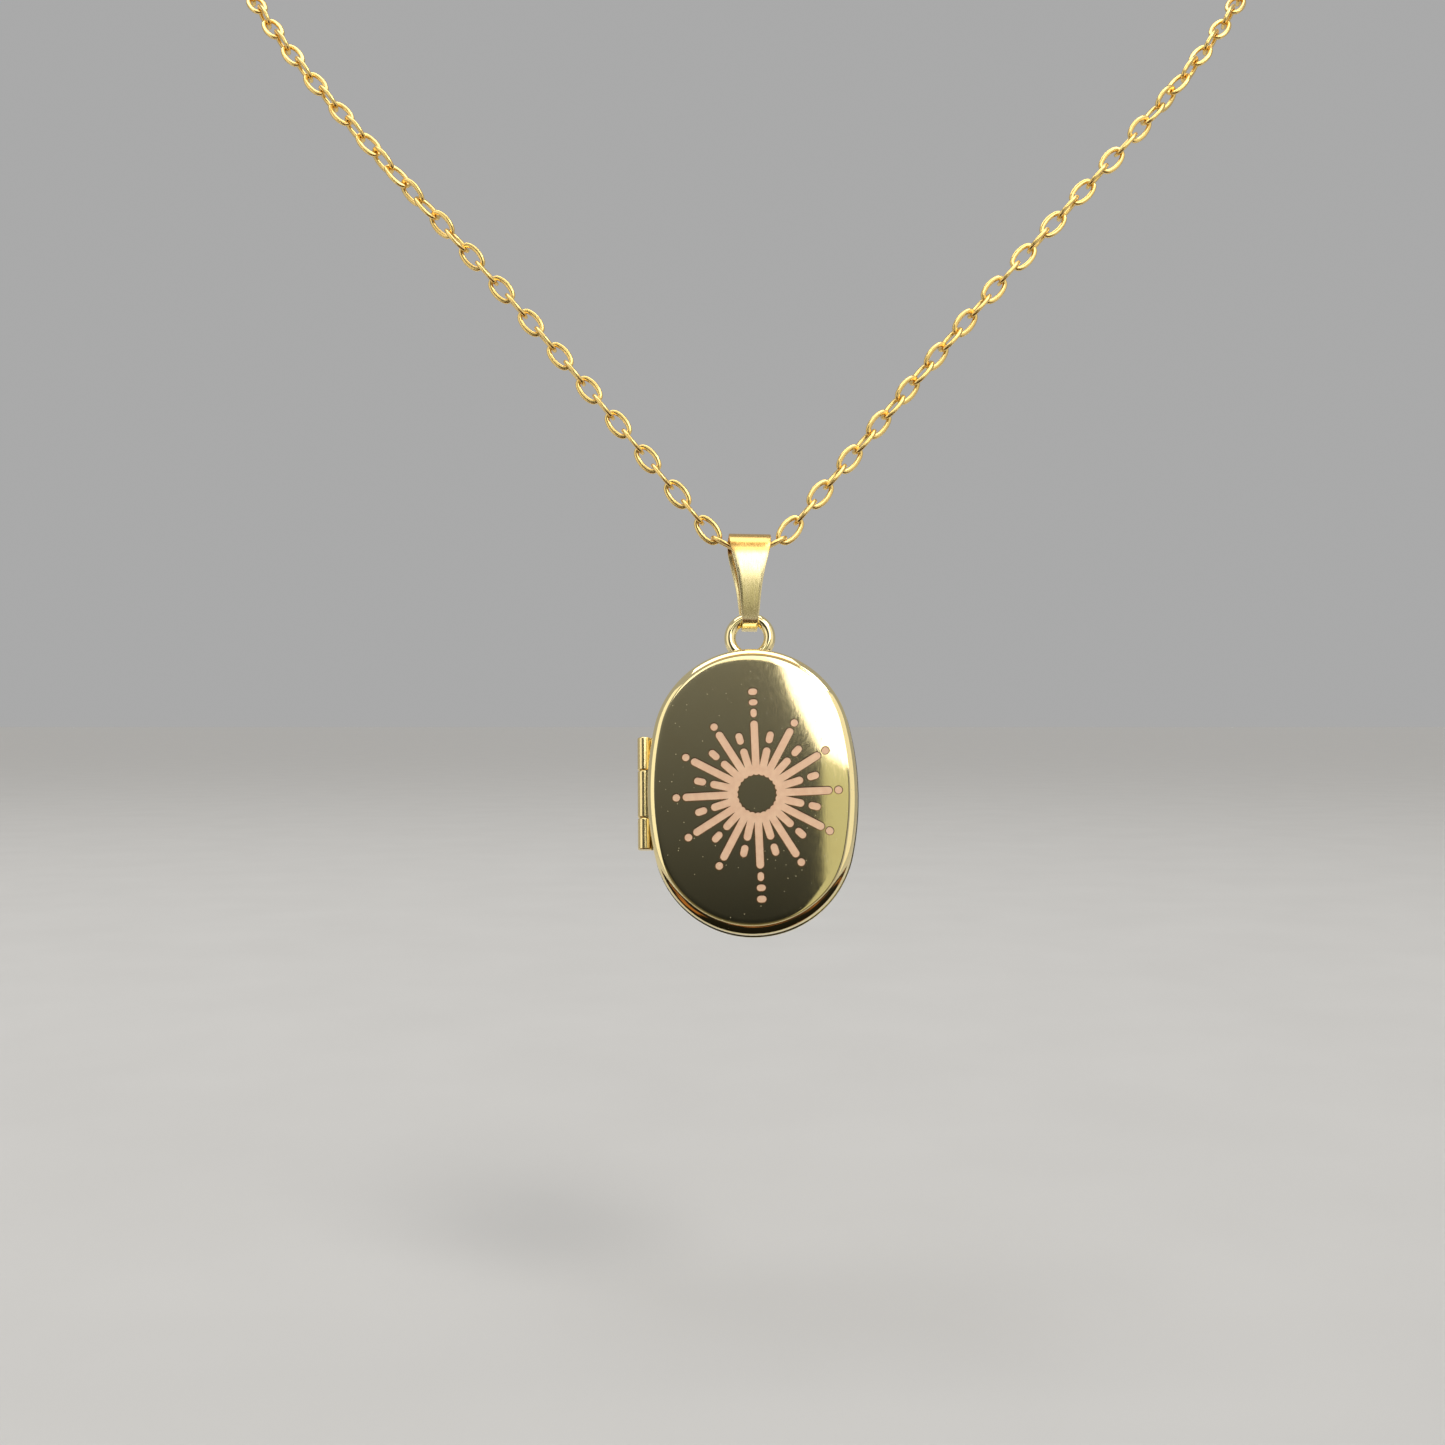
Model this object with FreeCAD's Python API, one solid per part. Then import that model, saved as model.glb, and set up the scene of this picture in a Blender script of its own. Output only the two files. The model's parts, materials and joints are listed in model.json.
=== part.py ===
import FreeCAD
import Part
import math
import os

# An oval picture locket on a flat-wire oval cable chain, laid out as it is worn.
# Millimetres and degrees. +Z is up, the wearer's front faces -Y, and +X is to the
# right when the locket is looked at. The layout is worked out from the middle of
# the lowest link, and every shape is then moved so that the origin is in the
# middle of the wearer's neck.

Vec = FreeCAD.Vector
X_AXIS = Vec(1, 0, 0)
Y_AXIS = Vec(0, 1, 0)
Z_AXIS = Vec(0, 0, 1)

# Chain
LINK_LENGTH = 3.84
LINK_WIDTH = 2.50
LINK_END_RADIUS = 1.06
WIRE_WIDTH = 0.60
WIRE_THICKNESS = 0.46
WIRE_EDGE = 0.18
LOWEST_JOINT_SLACK = 0.10
LOWEST_RISE = Vec(0.885, 0.08, 0.458).normalize()
LINKS_PER_SIDE = 86
SHOULDER_LINK = 45
NECK_POINTS = [
    (28.0, 7.8, 30.6),
    (55.0, 16.2, 62.4),
    (62.6, 26.0, 75.6),
    (64.5, 44.0, 87.0),
    (56.0, 75.0, 100.5),
    (36.0, 97.0, 110.5),
]
BACK_OF_NECK = (108.0, 115.0)
NECK_CENTRE = Vec(0, 58.0, 84.0)
ROLL_WANDER = {1: (42.0, 1.6), -1: (38.0, 1.1)}

# Clasp
RING_WIRE = 0.28
CLASP_RING_RADIUS = 1.35
END_RING_RADIUS = 1.70
RING_PLAY = 0.02
CLASP_TILT_BACK = 35.0
CLASP_THICKNESS = 1.60
CLAW_CENTRE = Vec(1.60, 0, 0)
CLAW_RADIUS = 2.30
CLAW_HOLE_CENTRE = Vec(1.70, 0, 0)
CLAW_HOLE_RADIUS = 1.35
TAIL_CENTRE = Vec(-3.90, 0, 0)
TAIL_RADIUS = 1.15
TAIL_HOLE_RADIUS = 0.60
TAIL_THICKNESS = 0.70
TAIL_RING_GAP = 0.12
NECK_OUTLINE = [(0.6, 2.05), (-2.6, 1.25), (-3.4, 0.7), (-3.4, -0.7), (-2.6, -1.25), (0.6, -2.05)]
PIVOT = Vec(-1.40, 0.55, 0)
PIVOT_RADIUS = 0.30
LEVER_THICKNESS = 0.80
LEVER_REACH = 4.40
LEVER_GAP = 0.08
LEVER_HUB_RADIUS = 0.72
LEVER_PLAY = 0.03
ARM_INSET = 0.10
ARM_LOW_Y = 0.34
ARM_ROOT_X = -0.60
SHANK_TOP_Y = 1.15
SHANK_END_X = -0.25
THUMB_PIP_CENTRE = Vec(0.12, 2.0, 0)
THUMB_PIP_RADIUS = 0.42
GATE_LOW_X = 0.30
GATE_LOW_Y = 0.25
SLOT_LOW_X = -2.35
SLOT_HIGH_X = 0.40
SLOT_LOW_Y = -0.40
CLASP_HIGH_X = 4.50
CLASP_HIGH_Y = 3.00
SPRING_WIRE_RADIUS = 0.055
SPRING_RADIUS = 0.46
SPRING_PITCH = 0.13
SPRING_HEIGHT = 0.16
SPRING_SEAT_RADIUS = 0.58
SPRING_SEAT_DEPTH = 0.30
SPRING_SEAT_START = 0.10
SPRING_START = 0.18
HOOKED_RING = Vec(2.20, -0.75, 0)

# Bail
BAIL_THICKNESS = 0.35
FOLD_RADIUS = 1.90
FOLD_HEIGHT = -0.58
EYE_RADIUS = 1.06
EYE_HEIGHT = -7.45
EYE_PLAY = 0.06
BAIL_HALF_WIDTHS = [(2.10, 1.80), (1.93, -0.95), (1.38, -3.30), (1.06, -5.60), (0.80, -8.00)]
BAIL_YAW = 3.0

# Locket
LOCKET_HALF_HEIGHT = 14.45
LOCKET_HALF_WIDTH = 10.50
LOCKET_END_RADIUS = 10.00
SHELL_DEPTH = 2.50
SHELL_WALL = 0.55
SHELL_FACE = 0.50
SHELL_EDGE = 1.00
BACK_RIM = 0.12
SEAM = 0.03
LOCKET_LEAN = 12.0
LOCKET_TILT = 1.0
LOCKET_YAW = -4.0

# Suspension loop
LOOP_WIRE = 0.61
LOOP_RADIUS = 2.05
LOOP_ABOVE_LOCKET = 1.90
LOOP_DEPTH = 1.20

# Locket hinge
HINGE_X = -10.95
KNUCKLE_RADIUS = 0.70
FOOT_REACH = 0.88
HINGE_PIN_RADIUS = 0.32
HINGE_PLAY = 0.04
KNUCKLE_GAP = 0.05
KNUCKLE_EDGE = 0.15
FOOT_START = 0.10
FOOT_THICKNESS = 0.55
MIDDLE_KNUCKLE = (-2.40, 2.40)
UPPER_KNUCKLE = (2.45, 5.85)
LOWER_KNUCKLE = (-5.65, -2.45)

# Picture holders
HOLDER_PLAY = 0.02
SKIRT_WALL = 0.30
LIP_WIDTH = 1.00
HOLDER_DEPTH = 0.90
LIP_THICKNESS = 0.60
PICTURE_THICKNESS = 0.20
WINDOW_THICKNESS = 0.25

# Catch tongue
CATCH_HALF_LENGTH = 3.0
CATCH_WALL = 0.35
CATCH_PROUD = 0.55
CATCH_GAP = 0.08
CATCH_FOOT_START = 0.10
CATCH_FOOT_END = 0.86


def oval_plate(half_long, half_short, end_radius, along, across, start, depth):
    """Solid oval plate bounded by four tangent arcs, raised by depth from its centre."""
    centre_out = half_long - end_radius
    side_radius = (centre_out ** 2 + half_short ** 2 - end_radius ** 2) / (2 * (half_short - end_radius))
    span = side_radius - end_radius
    meet_long = centre_out + end_radius * centre_out / span
    meet_short = end_radius * (side_radius - half_short) / span

    def spot(long_part, short_part):
        return start + along * long_part + across * short_part

    corners = [(1, -1), (1, 1), (-1, 1), (-1, -1)]
    middles = [(half_long, 0), (0, half_short), (-half_long, 0), (0, -half_short)]
    edges = []
    for index, middle in enumerate(middles):
        here = corners[index]
        there = corners[(index + 1) % 4]
        first = spot(here[0] * meet_long, here[1] * meet_short)
        last = spot(there[0] * meet_long, there[1] * meet_short)
        edges.append(Part.Arc(first, spot(*middle), last).toShape())
    return Part.Face(Part.Wire(edges)).extrude(depth)


def edges_in_plane(shape, point, normal):
    """Edges whose vertices and middle all lie in a plane."""
    found = []
    for edge in shape.Edges:
        middle = edge.valueAt((edge.FirstParameter + edge.LastParameter) / 2)
        spots = [vertex.Point for vertex in edge.Vertexes] + [middle]
        if all(abs((spot - point).dot(normal)) < 1e-4 for spot in spots):
            found.append(edge)
    return found


def cylinder(radius, length, start, axis):
    """Solid round bar."""
    return Part.makeCylinder(radius, length, start, axis)


def framed(along, across, at):
    """Placement that turns local X and Y to along and across."""
    return FreeCAD.Placement(at, FreeCAD.Rotation(along, across, along.cross(across), "XYZ"))


def placed(shape, placement):
    """Copy of a shape, moved."""
    moved = shape.copy()
    moved.Placement = placement.multiply(moved.Placement)
    return moved


def turned(vector, axis, angle):
    """Vector turned about an axis."""
    return FreeCAD.Rotation(axis, angle).multVec(vector)


# --- chain -------------------------------------------------------------------------

def chain_link():
    """One link: flat wire bent to an oval, its length along X and its flat side up Z."""
    half_long = LINK_LENGTH / 2
    half_short = LINK_WIDTH / 2
    start = Vec(0, 0, -WIRE_THICKNESS / 2)
    depth = Vec(0, 0, WIRE_THICKNESS)
    ring = oval_plate(half_long, half_short, LINK_END_RADIUS, X_AXIS, Y_AXIS, start, depth)
    hole = oval_plate(half_long - WIRE_WIDTH, half_short - WIRE_WIDTH,
                      LINK_END_RADIUS - WIRE_WIDTH, X_AXIS, Y_AXIS, start, depth)
    ring = ring.cut(hole)
    rims = edges_in_plane(ring, start, Z_AXIS) + edges_in_plane(ring, start + depth, Z_AXIS)
    return ring.makeFillet(WIRE_EDGE, rims)


def lowest_joint(pitch):
    """Where the lowest link meets its neighbour."""
    return Vec(pitch / 2 - LOWEST_JOINT_SLACK, 0, 0)


def half_route(pitch, rear_end):
    """Points close together on the line of one half of the chain, with a run-out past its end."""
    first = lowest_joint(pitch) + LOWEST_RISE * pitch
    points = [first] + [Vec(*point) for point in NECK_POINTS] + [rear_end]
    curve = Part.BSplineCurve()
    curve.interpolate(Points=points, InitialTangent=points[1] - points[0], FinalTangent=Vec(-1, 0, 0))
    samples = curve.discretize(Number=2400)
    return samples + [rear_end + Vec(-20, 0, 0)]


def joints_along(samples, pitch):
    """Points where each link meets the next, a pitch apart in a straight line."""
    joints = [lowest_joint(pitch), samples[0]]
    index = 0
    for _ in range(LINKS_PER_SIDE - 1):
        here = joints[-1]
        while index < len(samples) - 2 and (samples[index + 1] - here).Length < pitch:
            index += 1
        first = samples[index]
        step = samples[index + 1] - first
        low = 0.0
        high = 1.0
        for _ in range(40):
            middle = (low + high) / 2
            if (first + step * middle - here).Length < pitch:
                low = middle
            else:
                high = middle
        joints.append(first + step * low)
    return joints


def fitted_joints(rear_end):
    """Joints of one half, with the pitch at which the last one falls on the clasp's ring."""
    low = LINK_LENGTH - 2 * WIRE_WIDTH - 0.15
    high = LINK_LENGTH - 2 * WIRE_WIDTH
    for _ in range(40):
        pitch = (low + high) / 2
        joints = joints_along(half_route(pitch, rear_end), pitch)
        if joints[-1].x > rear_end.x:
            low = pitch
        else:
            high = pitch
    return pitch, joints


def turn_between(normal, wanted, axis):
    """Smallest turn about an axis that lays one flat side's normal along another's line."""
    wanted = (wanted - axis * wanted.dot(axis)).normalize()
    angle = math.degrees(math.atan2(normal.cross(wanted).dot(axis), normal.dot(wanted)))
    return (angle + 90.0) % 180.0 - 90.0


def link_placements(joints, side, rear_normal):
    """Placement of each link of one half, alternate links turned a quarter turn."""
    joints = [Vec(side * joint.x, joint.y, joint.z) for joint in joints]
    normal = Vec(0, -1, 0)
    spans = []
    for index in range(1, len(joints)):
        along = (joints[index] - joints[index - 1]).normalize()
        normal = (normal - along * normal.dot(along)).normalize()
        flat = turned(normal, along, 90.0 * (index % 2))
        spans.append(((joints[index] + joints[index - 1]) / 2, along, flat))

    shoulder_along = spans[SHOULDER_LINK - 1][1]
    shoulder_turn = turn_between(spans[SHOULDER_LINK - 1][2], X_AXIS.cross(shoulder_along), shoulder_along)
    rear_turn = turn_between(spans[-1][2], rear_normal, spans[-1][1])
    swing, waves = ROLL_WANDER[side]
    placements = []
    for index, (centre, along, flat) in enumerate(spans, start=1):
        if index <= SHOULDER_LINK:
            part = index / SHOULDER_LINK
            turn = shoulder_turn * part
            turn += swing * math.sin(math.pi * part) ** 2 * math.sin(2 * math.pi * waves * part)
        else:
            part = (index - SHOULDER_LINK) / (LINKS_PER_SIDE - SHOULDER_LINK)
            turn = shoulder_turn + (rear_turn - shoulder_turn) * part
        flat = turned(flat, along, turn)
        placements.append(framed(along, flat.cross(along), centre))
    return placements


# --- clasp, modelled flat: tail towards -X, claw towards +X, gate on the +Y side -----

def disc(centre, radius, thickness):
    """Round plate, half its thickness each side of the clasp's middle plane."""
    return cylinder(radius, thickness, centre - Z_AXIS * (thickness / 2), Z_AXIS)


def block(low_x, high_x, low_y, high_y, thickness):
    """Square plate about the clasp's middle plane."""
    corner = Vec(low_x, low_y, -thickness / 2)
    return Part.makeBox(high_x - low_x, high_y - low_y, thickness, corner)


def clasp_body():
    """Cast claw with a round ring space, an open gate, a slot for the lever and a tail eye."""
    corners = [Vec(x, y, 0) for x, y in NECK_OUTLINE]
    outline = Part.Face(Part.makePolygon(corners + corners[:1]))
    neck = outline.extrude(Z_AXIS * CLASP_THICKNESS)
    neck.translate(Z_AXIS * (-CLASP_THICKNESS / 2))
    body = disc(CLAW_CENTRE, CLAW_RADIUS, CLASP_THICKNESS).fuse(neck)
    body = body.fuse(disc(TAIL_CENTRE, TAIL_RADIUS, TAIL_THICKNESS)).removeSplitter()
    body = body.cut(disc(CLAW_HOLE_CENTRE, CLAW_HOLE_RADIUS, CLASP_THICKNESS))
    body = body.cut(disc(TAIL_CENTRE, TAIL_HOLE_RADIUS, CLASP_THICKNESS))
    gate = disc(PIVOT, LEVER_REACH + LEVER_GAP, CLASP_THICKNESS)
    gate = gate.common(block(GATE_LOW_X, CLASP_HIGH_X, GATE_LOW_Y, CLASP_HIGH_Y, CLASP_THICKNESS))
    slot = block(SLOT_LOW_X, SLOT_HIGH_X, SLOT_LOW_Y, CLASP_HIGH_Y, LEVER_THICKNESS + LEVER_GAP)
    body = body.cut(gate).cut(slot)
    return body.cut(disc(PIVOT, PIVOT_RADIUS, CLASP_THICKNESS))


def clasp_lever():
    """Sprung gate: hub on the pin, an arm along the claw's open side and a thumb pip."""
    arm = disc(CLAW_CENTRE, CLAW_RADIUS - ARM_INSET, LEVER_THICKNESS)
    arm = arm.cut(disc(CLAW_CENTRE, CLAW_HOLE_RADIUS + LEVER_GAP, LEVER_THICKNESS))
    arm = arm.common(block(ARM_ROOT_X, CLASP_HIGH_X, ARM_LOW_Y, CLASP_HIGH_Y, LEVER_THICKNESS))
    arm = arm.common(disc(PIVOT, LEVER_REACH, LEVER_THICKNESS))
    lever = arm.fuse(disc(PIVOT, LEVER_HUB_RADIUS, LEVER_THICKNESS))
    lever = lever.fuse(block(PIVOT.x, SHANK_END_X, ARM_LOW_Y, SHANK_TOP_Y, LEVER_THICKNESS))
    lever = lever.fuse(disc(THUMB_PIP_CENTRE, THUMB_PIP_RADIUS, LEVER_THICKNESS)).removeSplitter()
    lever = lever.cut(disc(PIVOT, PIVOT_RADIUS + LEVER_PLAY, LEVER_THICKNESS))
    seat_start = PIVOT + Z_AXIS * SPRING_SEAT_START
    return lever.cut(cylinder(SPRING_SEAT_RADIUS, SPRING_SEAT_DEPTH, seat_start, Z_AXIS))


def clasp_spring():
    """A turn and a quarter of fine wire round the pin, in the lever's round seat."""
    helix = Part.makeHelix(SPRING_PITCH, SPRING_HEIGHT, SPRING_RADIUS)
    section = Part.Wire(Part.makeCircle(SPRING_WIRE_RADIUS, Vec(SPRING_RADIUS, 0, 0), Y_AXIS))
    coil = helix.makePipeShell([section], True, True)
    coil.translate(PIVOT + Z_AXIS * SPRING_START)
    return coil


def clasp_pin():
    """Riveted pin through the clasp's two cheeks."""
    return disc(PIVOT, PIVOT_RADIUS, CLASP_THICKNESS)


def ring(radius, wire):
    """Closed round ring in the XZ plane."""
    return Part.makeTorus(radius, wire, Vec(0, 0, 0), Y_AXIS)


def clasp_stations(pitch):
    """Where the clasp's rings and the chain's two last joints are, in the clasp's own frame."""
    past_joint = LINK_LENGTH / 2 - WIRE_WIDTH - pitch / 2
    ring_wire_to_joint = RING_WIRE + RING_PLAY - past_joint
    tail_ring_wire = TAIL_CENTRE.x - TAIL_HOLE_RADIUS + RING_WIRE + TAIL_RING_GAP
    tail_ring = tail_ring_wire - CLASP_RING_RADIUS
    right_joint = Vec(tail_ring - CLASP_RING_RADIUS + ring_wire_to_joint, 0, 0)
    end_ring = HOOKED_RING + Vec(END_RING_RADIUS, 0, 0)
    left_joint = end_ring + Vec(END_RING_RADIUS - ring_wire_to_joint, 0, 0)
    return Vec(tail_ring, 0, 0), end_ring, right_joint, left_joint


# --- bail, in its own frame: hangs down Z, its wide front leaf towards -Y ------------

def belt(top_radius, bottom_radius, width):
    """Solid with the outline of a belt round two pulleys, seen along X."""
    top = Vec(0, 0, FOLD_HEIGHT)
    bottom = Vec(0, 0, EYE_HEIGHT)
    slope = (top_radius - bottom_radius) / (FOLD_HEIGHT - EYE_HEIGHT)
    back = Vec(0, math.sqrt(1 - slope ** 2), -slope)
    front = Vec(0, -back.y, back.z)
    corners = [top + back * top_radius, top + front * top_radius,
               bottom + front * bottom_radius, bottom + back * bottom_radius]
    edges = [
        Part.Arc(corners[0], top + Z_AXIS * top_radius, corners[1]).toShape(),
        Part.makeLine(corners[1], corners[2]),
        Part.Arc(corners[2], bottom - Z_AXIS * bottom_radius, corners[3]).toShape(),
        Part.makeLine(corners[3], corners[0]),
    ]
    solid = Part.Face(Part.Wire(edges)).extrude(X_AXIS * width)
    solid.translate(X_AXIS * (-width / 2))
    return solid


def bail_outline():
    """Front outline of the bail as a deep block: wide at the fold, narrow at the eye."""
    lowest = EYE_HEIGHT - EYE_RADIUS - 2 * BAIL_THICKNESS
    front = -2 * FOLD_RADIUS - BAIL_THICKNESS
    right = [Vec(half, front, height) for half, height in BAIL_HALF_WIDTHS]
    right.append(Vec(right[-1].x, front, lowest))
    left = [Vec(-point.x, front, point.z) for point in reversed(right)]
    edges = []
    for start, points in ((right[-1], left[1:]), (left[-1], right[:-1])):
        curve = Part.BSplineCurve()
        curve.interpolate(Points=points)
        edges.append(curve.toShape())
        edges.append(Part.makeLine(start, Vec(-start.x, front, start.z)))
    edges.append(Part.makeLine(right[-2], right[-1]))
    edges.append(Part.makeLine(left[0], left[1]))
    outline = Part.Wire(Part.sortEdges(edges)[0])
    return Part.Face(outline).extrude(Y_AXIS * (-2 * front))


def bail():
    """Tapered strip folded over the chain and closed under the locket's loop."""
    width = 2 * BAIL_HALF_WIDTHS[0][0] + 1
    outer = belt(FOLD_RADIUS + BAIL_THICKNESS, EYE_RADIUS + BAIL_THICKNESS, width)
    inner = belt(FOLD_RADIUS, EYE_RADIUS, width)
    return outer.cut(inner).common(bail_outline())


# --- locket, in its own frame: centred, face towards -Y, seam at Y = 0 ---------------

def locket_oval(inset, low_y, high_y):
    """Oval plate of the locket's outline, moved in by inset, between two depths."""
    return oval_plate(LOCKET_HALF_HEIGHT - inset, LOCKET_HALF_WIDTH - inset, LOCKET_END_RADIUS - inset,
                      Z_AXIS, X_AXIS, Y_AXIS * low_y, Y_AXIS * (high_y - low_y))


def hinge_bar(radius, low_z, high_z):
    """Round bar on the locket's hinge line."""
    return cylinder(radius, high_z - low_z, Vec(HINGE_X, 0, low_z), Z_AXIS)


def knuckle_groove():
    """Groove in a shell's edge that the whole hinge lies in."""
    gap = KNUCKLE_GAP
    return hinge_bar(KNUCKLE_RADIUS + gap, LOWER_KNUCKLE[0] - gap, UPPER_KNUCKLE[1] + gap)


def shell(side, rim):
    """Hollow half of the locket, on the side of the seam that side points to."""
    seam = side * SEAM
    face = side * SHELL_DEPTH
    body = locket_oval(-rim, seam, face)
    body = body.makeFillet(SHELL_EDGE, edges_in_plane(body, Y_AXIS * face, Y_AXIS))
    pocket = locket_oval(SHELL_WALL - rim, seam, face - side * SHELL_FACE)
    return body.cut(pocket).cut(knuckle_groove())


def knuckle(span, side, own_shell, bore):
    """Hinge knuckle with a foot that is soldered to the edge of its own shell."""
    low, high = span
    barrel = hinge_bar(KNUCKLE_RADIUS, low, high)
    rims = edges_in_plane(barrel, Z_AXIS * low, Z_AXIS) + edges_in_plane(barrel, Z_AXIS * high, Z_AXIS)
    barrel = barrel.makeFillet(KNUCKLE_EDGE, rims)
    foot_low = min(side * FOOT_START, side * (FOOT_START + FOOT_THICKNESS))
    foot = Part.makeBox(FOOT_REACH, FOOT_THICKNESS, high - low, Vec(HINGE_X, foot_low, low))
    return barrel.fuse(foot).removeSplitter().cut(own_shell).cut(hinge_bar(bore, low, high))


def suspension_loop(back_shell):
    """Round wire loop whose two legs end on the top edge of the back shell."""
    height = LOCKET_HALF_HEIGHT + LOOP_ABOVE_LOCKET
    hoop = Part.makeTorus(LOOP_RADIUS, LOOP_WIRE, Vec(0, LOOP_DEPTH, height), Y_AXIS)
    inside = locket_oval(-BACK_RIM, SEAM, SHELL_DEPTH)
    trimmed = hoop.cut(inside.fuse(back_shell))
    return max(trimmed.Solids, key=lambda solid: solid.Volume)


def picture_holder(side, rim):
    """Frame with a skirt and a lip, the clear window and the picture, from seam to floor."""
    floor = side * (SHELL_DEPTH - SHELL_FACE)
    outer = SHELL_WALL - rim + HOLDER_PLAY
    mouth = side * HOLDER_DEPTH
    under_lip = side * (HOLDER_DEPTH + LIP_THICKNESS)
    frame = locket_oval(outer, mouth, floor)
    frame = frame.cut(locket_oval(outer + SKIRT_WALL, under_lip, floor))
    frame = frame.cut(locket_oval(outer + SKIRT_WALL + LIP_WIDTH, mouth, floor))
    inset = outer + SKIRT_WALL + HOLDER_PLAY
    window_back = under_lip + side * WINDOW_THICKNESS
    window = locket_oval(inset, under_lip, window_back)
    picture = locket_oval(inset, window_back, window_back + side * PICTURE_THICKNESS)
    return frame, window, picture


def catch_tongue():
    """Curved tongue on the back shell's open side that grips inside the cover's wall."""
    reach = SHELL_WALL - BACK_RIM
    outer = SHELL_WALL + CATCH_GAP
    inner = outer + CATCH_WALL
    foot = locket_oval(reach, CATCH_FOOT_START, CATCH_FOOT_END)
    foot = foot.cut(locket_oval(inner, CATCH_FOOT_START, CATCH_FOOT_END))
    tongue = locket_oval(outer, -CATCH_PROUD, CATCH_FOOT_START)
    tongue = tongue.cut(locket_oval(inner, -CATCH_PROUD, CATCH_FOOT_START))
    depth = 2 * SHELL_DEPTH
    limit = Part.makeBox(LOCKET_HALF_WIDTH, depth, 2 * CATCH_HALF_LENGTH,
                         Vec(0, -depth / 2, -CATCH_HALF_LENGTH))
    return foot.fuse(tongue).removeSplitter().common(limit)


# --- layout --------------------------------------------------------------------------

def export(name, solids, placement=None):
    """Write one piece, or a group of like pieces, as a STEP file."""
    moved = [solid if placement is None else placed(solid, placement) for solid in solids]
    to_origin = FreeCAD.Placement(NECK_CENTRE * -1, FreeCAD.Rotation())
    moved = [placed(solid, to_origin) for solid in moved]
    shape = moved[0] if len(moved) == 1 else Part.makeCompound(moved)
    shape.exportStep("parts/" + name + ".step")


def rear_frame(pitch):
    """Placement of the clasp at the back of the neck, and the right half's last joint."""
    right_joint, left_joint = clasp_stations(pitch)[2:]
    reach = left_joint - right_joint
    rear_end = Vec(reach.Length / 2, *BACK_OF_NECK)
    outward = Vec(0, math.cos(math.radians(CLASP_TILT_BACK)), math.sin(math.radians(CLASP_TILT_BACK)))
    upward = outward.cross(Vec(-1, 0, 0))
    lean = math.degrees(math.atan2(reach.y, reach.x))
    level = framed(Vec(-1, 0, 0), upward, rear_end)
    shift = FreeCAD.Placement(right_joint * -1, FreeCAD.Rotation())
    spin = FreeCAD.Placement(Vec(0, 0, 0), FreeCAD.Rotation(Z_AXIS, -lean))
    return level.multiply(spin).multiply(shift), rear_end, outward


NOMINAL_PITCH = LINK_LENGTH - 2 * WIRE_WIDTH - 0.03
CLASP_AT, REAR_END, REAR_NORMAL = rear_frame(NOMINAL_PITCH)
PITCH, JOINTS = fitted_joints(REAR_END)
HANG = FreeCAD.Placement(Vec(0, 0, 0), FreeCAD.Rotation(X_AXIS, -LOCKET_LEAN))
BAIL_AT = HANG.multiply(FreeCAD.Placement(Vec(0, 0, 0), FreeCAD.Rotation(Z_AXIS, BAIL_YAW)))
LOOP_WIRE_HEIGHT = EYE_HEIGHT - EYE_PLAY
LOCKET_TURN = FreeCAD.Rotation(Vec(0, -1, 0), LOCKET_TILT).multiply(FreeCAD.Rotation(Z_AXIS, LOCKET_YAW))
LOCKET_PIVOT = Vec(0, LOOP_DEPTH, LOCKET_HALF_HEIGHT + LOOP_ABOVE_LOCKET + LOOP_RADIUS)
LOCKET_AT = HANG.multiply(FreeCAD.Placement(Vec(0, 0, LOOP_WIRE_HEIGHT), LOCKET_TURN))
LOCKET_AT = LOCKET_AT.multiply(FreeCAD.Placement(LOCKET_PIVOT * -1, FreeCAD.Rotation()))


def make_chain():
    """Links in five groups: both rear sides, both front sides and the one in the bail."""
    link = chain_link()
    for side, name in ((1, "right"), (-1, "left")):
        placements = link_placements(JOINTS, side, REAR_NORMAL)
        links = [placed(link, placement) for placement in placements]
        export(name + "_front_chain", links[:SHOULDER_LINK - 1])
        export(name + "_rear_chain", links[SHOULDER_LINK - 1:])
    upright = framed(X_AXIS, Vec(0, 0, 1), Vec(0, 0, 0))
    export("bail_link", [placed(link, upright)])


def make_clasp():
    """Clasp, its lever, pin and spring, and a ring at each end."""
    tail_ring, end_ring = clasp_stations(PITCH)[:2]
    export("clasp_body", [clasp_body()], CLASP_AT)
    export("clasp_trigger", [clasp_lever()], CLASP_AT)
    export("clasp_spring", [clasp_spring()], CLASP_AT)
    export("clasp_pin", [clasp_pin()], CLASP_AT)
    export("clasp_ring", [ring(CLASP_RING_RADIUS, RING_WIRE).translated(tail_ring)], CLASP_AT)
    export("end_ring", [ring(END_RING_RADIUS, RING_WIRE).translated(end_ring)], CLASP_AT)


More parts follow.
